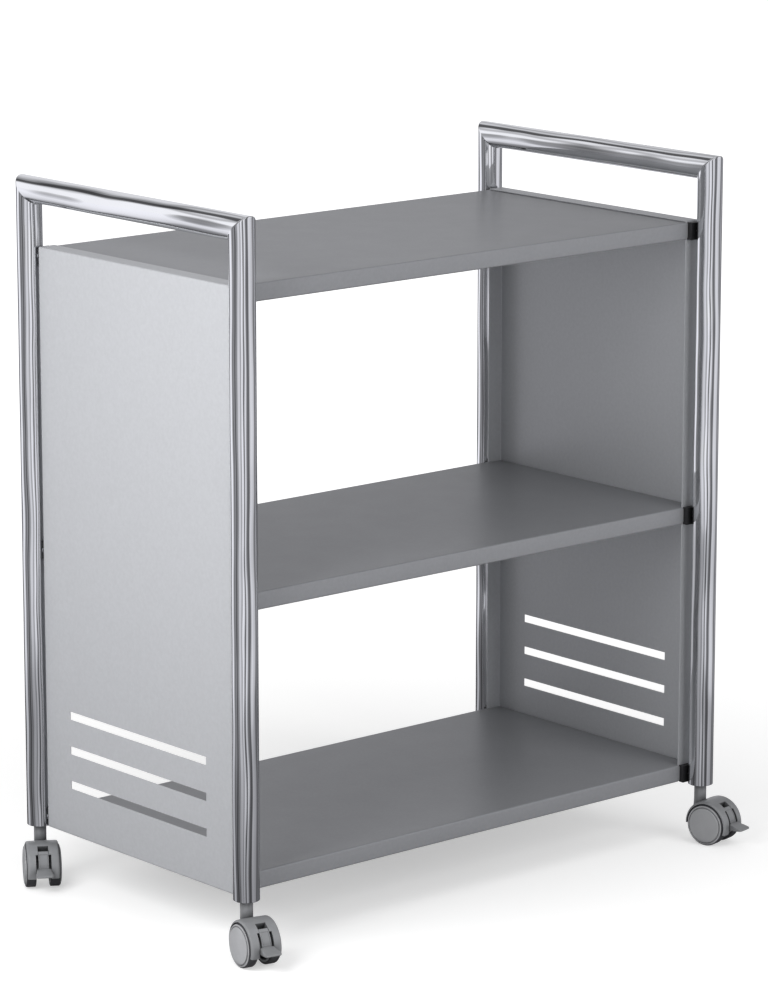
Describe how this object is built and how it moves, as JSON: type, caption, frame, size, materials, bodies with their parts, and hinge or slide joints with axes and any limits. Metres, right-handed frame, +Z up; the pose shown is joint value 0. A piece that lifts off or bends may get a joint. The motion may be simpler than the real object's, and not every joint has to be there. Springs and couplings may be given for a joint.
{
  "type": "shelf cart",
  "caption": "Rolling shelf cart with a chromed tube frame, sheet-steel side panels, three open shelves and twin-wheel swivel castors.",
  "frame": {"origin": "on the floor under the middle of the cart's frame", "axes": "+X to the right along the shelves, +Y to the back, +Z up; the front is at -Y"},
  "size_m": [0.791, 0.513, 0.835],
  "materials": {
    "chrome": "polished chrome plating on steel tube",
    "panel_paint": "satin silver-grey powder coat",
    "shelf_paint": "satin mid-grey powder coat",
    "zinc_steel": "zinc-plated steel",
    "black_plastic": "matt black plastic",
    "castor_plastic": "moulded grey plastic, satin",
    "cover_plastic": "moulded light grey plastic, satin",
    "tyre": "soft grey tread"
  },
  "bodies": {
    "frame": {"post_front_left": "chrome", "post_front_right": "chrome", "post_back_left": "chrome", "post_back_right": "chrome", "handle_rail_left": "chrome", "handle_rail_right": "chrome", "side_panel_left": "panel_paint", "side_panel_right": "panel_paint", "shelf_top": "shelf_paint", "shelf_middle": "shelf_paint", "shelf_bottom": "shelf_paint", "shelf_screws": "zinc_steel", "rivet_nuts": "zinc_steel", "post_spacers": "black_plastic", "post_inserts": "black_plastic", "grip_rings": "zinc_steel", "castor_stem_front_left": "zinc_steel", "castor_stem_front_right": "zinc_steel", "castor_stem_back_left": "zinc_steel", "castor_stem_back_right": "zinc_steel"},
    "castor_front_left": {"castor_body_front_left": "castor_plastic", "castor_axle_front_left": "zinc_steel", "brake_pin_front_left": "zinc_steel"},
    "wheel_front_left_left": {"wheel_front_left_left": "castor_plastic", "tyre_front_left_left": "tyre", "wheel_cover_front_left_left": "cover_plastic"},
    "wheel_front_left_right": {"wheel_front_left_right": "castor_plastic", "tyre_front_left_right": "tyre", "wheel_cover_front_left_right": "cover_plastic"},
    "brake_front_left": {"brake_lever_front_left": "cover_plastic"},
    "castor_front_right": {"castor_body_front_right": "castor_plastic", "castor_axle_front_right": "zinc_steel", "brake_pin_front_right": "zinc_steel"},
    "wheel_front_right_left": {"wheel_front_right_left": "castor_plastic", "tyre_front_right_left": "tyre", "wheel_cover_front_right_left": "cover_plastic"},
    "wheel_front_right_right": {"wheel_front_right_right": "castor_plastic", "tyre_front_right_right": "tyre", "wheel_cover_front_right_right": "cover_plastic"},
    "brake_front_right": {"brake_lever_front_right": "cover_plastic"},
    "castor_back_left": {"castor_body_back_left": "castor_plastic", "castor_axle_back_left": "zinc_steel", "brake_pin_back_left": "zinc_steel"},
    "wheel_back_left_left": {"wheel_back_left_left": "castor_plastic", "tyre_back_left_left": "tyre", "wheel_cover_back_left_left": "cover_plastic"},
    "wheel_back_left_right": {"wheel_back_left_right": "castor_plastic", "tyre_back_left_right": "tyre", "wheel_cover_back_left_right": "cover_plastic"},
    "brake_back_left": {"brake_lever_back_left": "cover_plastic"},
    "castor_back_right": {"castor_body_back_right": "castor_plastic", "castor_axle_back_right": "zinc_steel", "brake_pin_back_right": "zinc_steel"},
    "wheel_back_right_left": {"wheel_back_right_left": "castor_plastic", "tyre_back_right_left": "tyre", "wheel_cover_back_right_left": "cover_plastic"},
    "wheel_back_right_right": {"wheel_back_right_right": "castor_plastic", "tyre_back_right_right": "tyre", "wheel_cover_back_right_right": "cover_plastic"},
    "brake_back_right": {"brake_lever_back_right": "cover_plastic"}
  },
  "joints": [
    {"name": "swivel_front_left", "type": "hinge", "parent": "frame", "child": "castor_front_left", "pos_m": [-0.3525, -0.1925, 0.06], "axis": [0, 0, 1], "continuous": true},
    {"name": "roll_front_left_left", "type": "hinge", "parent": "castor_front_left", "child": "wheel_front_left_left", "pos_m": [-0.35649, -0.2121, 0.025], "axis": [0.9799, -0.1994, 0], "continuous": true},
    {"name": "roll_front_left_right", "type": "hinge", "parent": "castor_front_left", "child": "wheel_front_left_right", "pos_m": [-0.35649, -0.2121, 0.025], "axis": [0.9799, -0.1994, 0], "continuous": true},
    {"name": "brake_front_left", "type": "hinge", "parent": "castor_front_left", "child": "brake_front_left", "pos_m": [-0.35924, -0.22564, 0.04147], "axis": [0.9799, -0.1994, 0], "range_deg": [0, 10]},
    {"name": "swivel_front_right", "type": "hinge", "parent": "frame", "child": "castor_front_right", "pos_m": [0.3525, -0.1925, 0.06], "axis": [0, 0, 1], "continuous": true},
    {"name": "roll_front_right_left", "type": "hinge", "parent": "castor_front_right", "child": "wheel_front_right_left", "pos_m": [0.35649, -0.2121, 0.025], "axis": [0.9799, 0.1994, 0], "continuous": true},
    {"name": "roll_front_right_right", "type": "hinge", "parent": "castor_front_right", "child": "wheel_front_right_right", "pos_m": [0.35649, -0.2121, 0.025], "axis": [0.9799, 0.1994, 0], "continuous": true},
    {"name": "brake_front_right", "type": "hinge", "parent": "castor_front_right", "child": "brake_front_right", "pos_m": [0.35924, -0.22564, 0.04147], "axis": [0.9799, 0.1994, 0], "range_deg": [0, 10]},
    {"name": "swivel_back_left", "type": "hinge", "parent": "frame", "child": "castor_back_left", "pos_m": [-0.3525, 0.1925, 0.06], "axis": [0, 0, 1], "continuous": true},
    {"name": "roll_back_left_left", "type": "hinge", "parent": "castor_back_left", "child": "wheel_back_left_left", "pos_m": [-0.36295, 0.17545, 0.025], "axis": [0.8526, -0.5225, 0], "continuous": true},
    {"name": "roll_back_left_right", "type": "hinge", "parent": "castor_back_left", "child": "wheel_back_left_right", "pos_m": [-0.36295, 0.17545, 0.025], "axis": [0.8526, -0.5225, 0], "continuous": true},
    {"name": "brake_back_left", "type": "hinge", "parent": "castor_back_left", "child": "brake_back_left", "pos_m": [-0.37017, 0.16366, 0.04147], "axis": [0.8526, -0.5225, 0], "range_deg": [0, 10]},
    {"name": "swivel_back_right", "type": "hinge", "parent": "frame", "child": "castor_back_right", "pos_m": [0.3525, 0.1925, 0.06], "axis": [0, 0, 1], "continuous": true},
    {"name": "roll_back_right_left", "type": "hinge", "parent": "castor_back_right", "child": "wheel_back_right_left", "pos_m": [0.36295, 0.20955, 0.025], "axis": [-0.8526, 0.5225, 0], "continuous": true},
    {"name": "roll_back_right_right", "type": "hinge", "parent": "castor_back_right", "child": "wheel_back_right_right", "pos_m": [0.36295, 0.20955, 0.025], "axis": [-0.8526, 0.5225, 0], "continuous": true},
    {"name": "brake_back_right", "type": "hinge", "parent": "castor_back_right", "child": "brake_back_right", "pos_m": [0.37017, 0.22134, 0.04147], "axis": [-0.8526, 0.5225, 0], "range_deg": [0, 10]}
  ]
}
